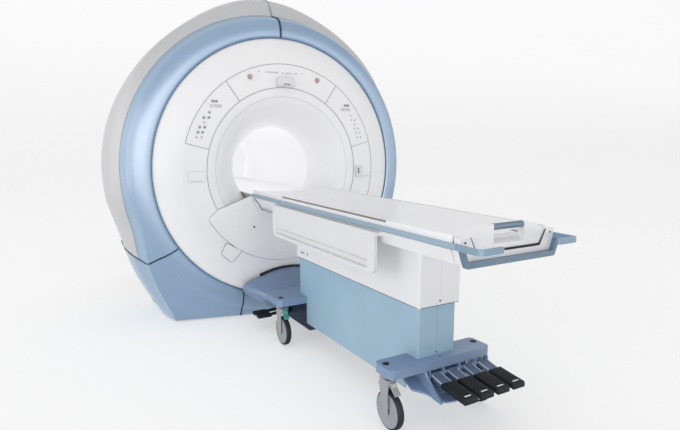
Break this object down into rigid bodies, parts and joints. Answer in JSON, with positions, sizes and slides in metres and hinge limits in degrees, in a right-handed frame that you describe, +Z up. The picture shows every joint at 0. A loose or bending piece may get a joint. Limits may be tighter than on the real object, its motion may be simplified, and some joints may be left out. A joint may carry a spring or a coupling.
{
  "type": "mri scanner",
  "caption": "Medical MRI scanner: covered round magnet with a blue ring and a flared bore, and a docked wheeled patient table that lifts and slides its cradle in",
  "frame": {"origin": "on the floor under the magnet's centre, at the middle of its four floor anchor holes", "axes": "+X to the right seen from the table, +Y from the table's foot end into the scanner, +Z up"},
  "size_m": [2.3, 4.079, 2.3],
  "materials": {
    "shell_grey": "satin moulded cover",
    "ring_blue": "satin steel-blue moulded cover",
    "face_white": "satin white moulding",
    "fitting_grey": "fine matt moulding",
    "screw_steel": "turned steel",
    "magnet_paint": "plain paint on steel",
    "coil_resin": "cast resin",
    "cold_metal": "machined steel",
    "stop_red": "smooth pinkish red",
    "chassis_blue": "satin slate-blue paint",
    "band_black": "black rubber",
    "column_blue": "satin light-blue paint",
    "lift_metal": "drawn steel",
    "table_white": "satin white moulding",
    "rail_blue": "satin blue plastic",
    "fork_grey": "grey paint on pressed steel",
    "wheel_rubber": "grey disc with a dark tread",
    "pedal_black": "black pad on a slate-blue arm"
  },
  "bodies": {
    "scanner": {"rear_shell_left": "shell_grey", "rear_shell_right": "shell_grey", "ring_panel_left": "ring_blue", "ring_panel_right": "ring_blue", "corner_panel_left": "ring_blue", "corner_panel_right": "ring_blue", "lower_centre_panel": "ring_blue", "front_face": "face_white", "control_panel_left": "face_white", "control_panel_top": "face_white", "control_panel_right": "face_white", "bore_camera": "fitting_grey", "port_cover": "face_white", "port_socket": "fitting_grey", "access_cover": "face_white", "bore_flare": "face_white", "bore_tube": "face_white", "rear_cover": "shell_grey", "bore_bridge": "face_white", "magnet_vessel": "magnet_paint", "gradient_coil": "coil_resin", "body_coil": "coil_resin", "cold_head": "cold_metal", "dock_socket": "magnet_paint", "fan_panel": "face_white", "fan_screws": "screw_steel"},
    "estop_button_left": {"estop_left": "stop_red"},
    "estop_button_right": {"estop_right": "stop_red"},
    "table_base": {"chassis": "chassis_blue", "lower_column_cover": "column_blue", "lift_post": "lift_metal", "dock_hood": "chassis_blue", "dock_band": "band_black"},
    "table_top": {"lift_ram": "lift_metal", "upper_column_cover": "table_white", "table_frame": "table_white", "side_rail_left": "rail_blue", "side_rail_right": "rail_blue", "end_cap": "table_white", "end_bumper": "rail_blue", "push_handle_left": "rail_blue", "push_handle_right": "rail_blue"},
    "cradle_body": {"cradle": "table_white", "cradle_grip": "rail_blue"},
    "arm_left": {"arm_board_left": "table_white"},
    "arm_right": {"arm_board_right": "table_white"},
    "fork_front_left": {"caster_fork_front_left": "fork_grey"},
    "wheel_front_left": {"caster_wheel_front_left": "wheel_rubber"},
    "fork_front_right": {"caster_fork_front_right": "fork_grey"},
    "wheel_front_right": {"caster_wheel_front_right": "wheel_rubber"},
    "fork_rear_left": {"caster_fork_rear_left": "fork_grey"},
    "wheel_rear_left": {"caster_wheel_rear_left": "wheel_rubber"},
    "fork_rear_right": {"caster_fork_rear_right": "fork_grey"},
    "wheel_rear_right": {"caster_wheel_rear_right": "wheel_rubber"},
    "pedal_1": {"foot_pedal_1": "pedal_black"},
    "pedal_2": {"foot_pedal_2": "pedal_black"},
    "pedal_3": {"foot_pedal_3": "pedal_black"},
    "pedal_4": {"foot_pedal_4": "pedal_black"},
    "side_pedal_1": {"dock_pedal_1": "pedal_black"},
    "side_pedal_2": {"dock_pedal_2": "pedal_black"}
  },
  "joints": [
    {"name": "table_undock", "type": "slide", "parent": "scanner", "child": "table_base", "axis": [0, -1, 0], "range_m": [0, 0.8]},
    {"name": "table_lift", "type": "slide", "parent": "table_base", "child": "table_top", "axis": [0, 0, 1], "range_m": [-0.235, 0]},
    {"name": "cradle_slide", "type": "slide", "parent": "table_top", "child": "cradle_body", "axis": [0, 1, 0], "range_m": [0, 1.5]},
    {"name": "arm_board_left_swing", "type": "hinge", "parent": "table_top", "child": "arm_left", "pos_m": [-0.282, -1.945, 0.874], "axis": [0, 1, 0], "range_deg": [0, 90]},
    {"name": "arm_board_right_swing", "type": "hinge", "parent": "table_top", "child": "arm_right", "pos_m": [0.282, -1.945, 0.874], "axis": [0, -1, 0], "range_deg": [0, 90]},
    {"name": "swivel_front_left", "type": "hinge", "parent": "table_base", "child": "fork_front_left", "pos_m": [-0.264, -2.576, 0.27], "axis": [0, 0, 1], "continuous": true},
    {"name": "spin_front_left", "type": "hinge", "parent": "fork_front_left", "child": "wheel_front_left", "pos_m": [-0.264, -2.612, 0.09], "axis": [1, 0, 0], "continuous": true},
    {"name": "swivel_front_right", "type": "hinge", "parent": "table_base", "child": "fork_front_right", "pos_m": [0.264, -2.576, 0.27], "axis": [0, 0, 1], "continuous": true},
    {"name": "spin_front_right", "type": "hinge", "parent": "fork_front_right", "child": "wheel_front_right", "pos_m": [0.264, -2.612, 0.09], "axis": [1, 0, 0], "continuous": true},
    {"name": "swivel_rear_left", "type": "hinge", "parent": "table_base", "child": "fork_rear_left", "pos_m": [-0.264, -1.4246, 0.27], "axis": [0, 0, 1], "continuous": true},
    {"name": "spin_rear_left", "type": "hinge", "parent": "fork_rear_left", "child": "wheel_rear_left", "pos_m": [-0.264, -1.4606, 0.09], "axis": [1, 0, 0], "continuous": true},
    {"name": "swivel_rear_right", "type": "hinge", "parent": "table_base", "child": "fork_rear_right", "pos_m": [0.264, -1.4246, 0.27], "axis": [0, 0, 1], "continuous": true},
    {"name": "spin_rear_right", "type": "hinge", "parent": "fork_rear_right", "child": "wheel_rear_right", "pos_m": [0.264, -1.4606, 0.09], "axis": [1, 0, 0], "continuous": true},
    {"name": "pedal_1_press", "type": "hinge", "parent": "table_base", "child": "pedal_1", "pos_m": [-0.052, -2.662, 0.226], "axis": [1, 0, 0], "range_deg": [0, 11], "stiffness_Nm_per_rad": 25, "springref_deg": -6.88},
    {"name": "pedal_2_press", "type": "hinge", "parent": "table_base", "child": "pedal_2", "pos_m": [0.044, -2.662, 0.226], "axis": [1, 0, 0], "range_deg": [0, 11], "stiffness_Nm_per_rad": 25, "springref_deg": -6.88},
    {"name": "pedal_3_press", "type": "hinge", "parent": "table_base", "child": "pedal_3", "pos_m": [0.14, -2.662, 0.226], "axis": [1, 0, 0], "range_deg": [0, 11], "stiffness_Nm_per_rad": 25, "springref_deg": -6.88},
    {"name": "pedal_4_press", "type": "hinge", "parent": "table_base", "child": "pedal_4", "pos_m": [0.236, -2.662, 0.226], "axis": [1, 0, 0], "range_deg": [0, 11], "stiffness_Nm_per_rad": 25, "springref_deg": -6.88},
    {"name": "side_pedal_1_press", "type": "hinge", "parent": "table_base", "child": "side_pedal_1", "pos_m": [-0.143, -1.08, 0.105], "axis": [0, -1, 0], "range_deg": [0, 11], "stiffness_Nm_per_rad": 25, "springref_deg": -6.88},
    {"name": "side_pedal_2_press", "type": "hinge", "parent": "table_base", "child": "side_pedal_2", "pos_m": [-0.143, -1.155, 0.105], "axis": [0, -1, 0], "range_deg": [0, 11], "stiffness_Nm_per_rad": 25, "springref_deg": -6.88},
    {"name": "estop_left_press", "type": "slide", "parent": "scanner", "child": "estop_button_left", "axis": [0, 1, 0], "range_m": [0, 0.004], "stiffness_N_per_m": 1500, "springref_m": -0.002},
    {"name": "estop_right_press", "type": "slide", "parent": "scanner", "child": "estop_button_right", "axis": [0, 1, 0], "range_m": [0, 0.004], "stiffness_N_per_m": 1500, "springref_m": -0.002}
  ]
}
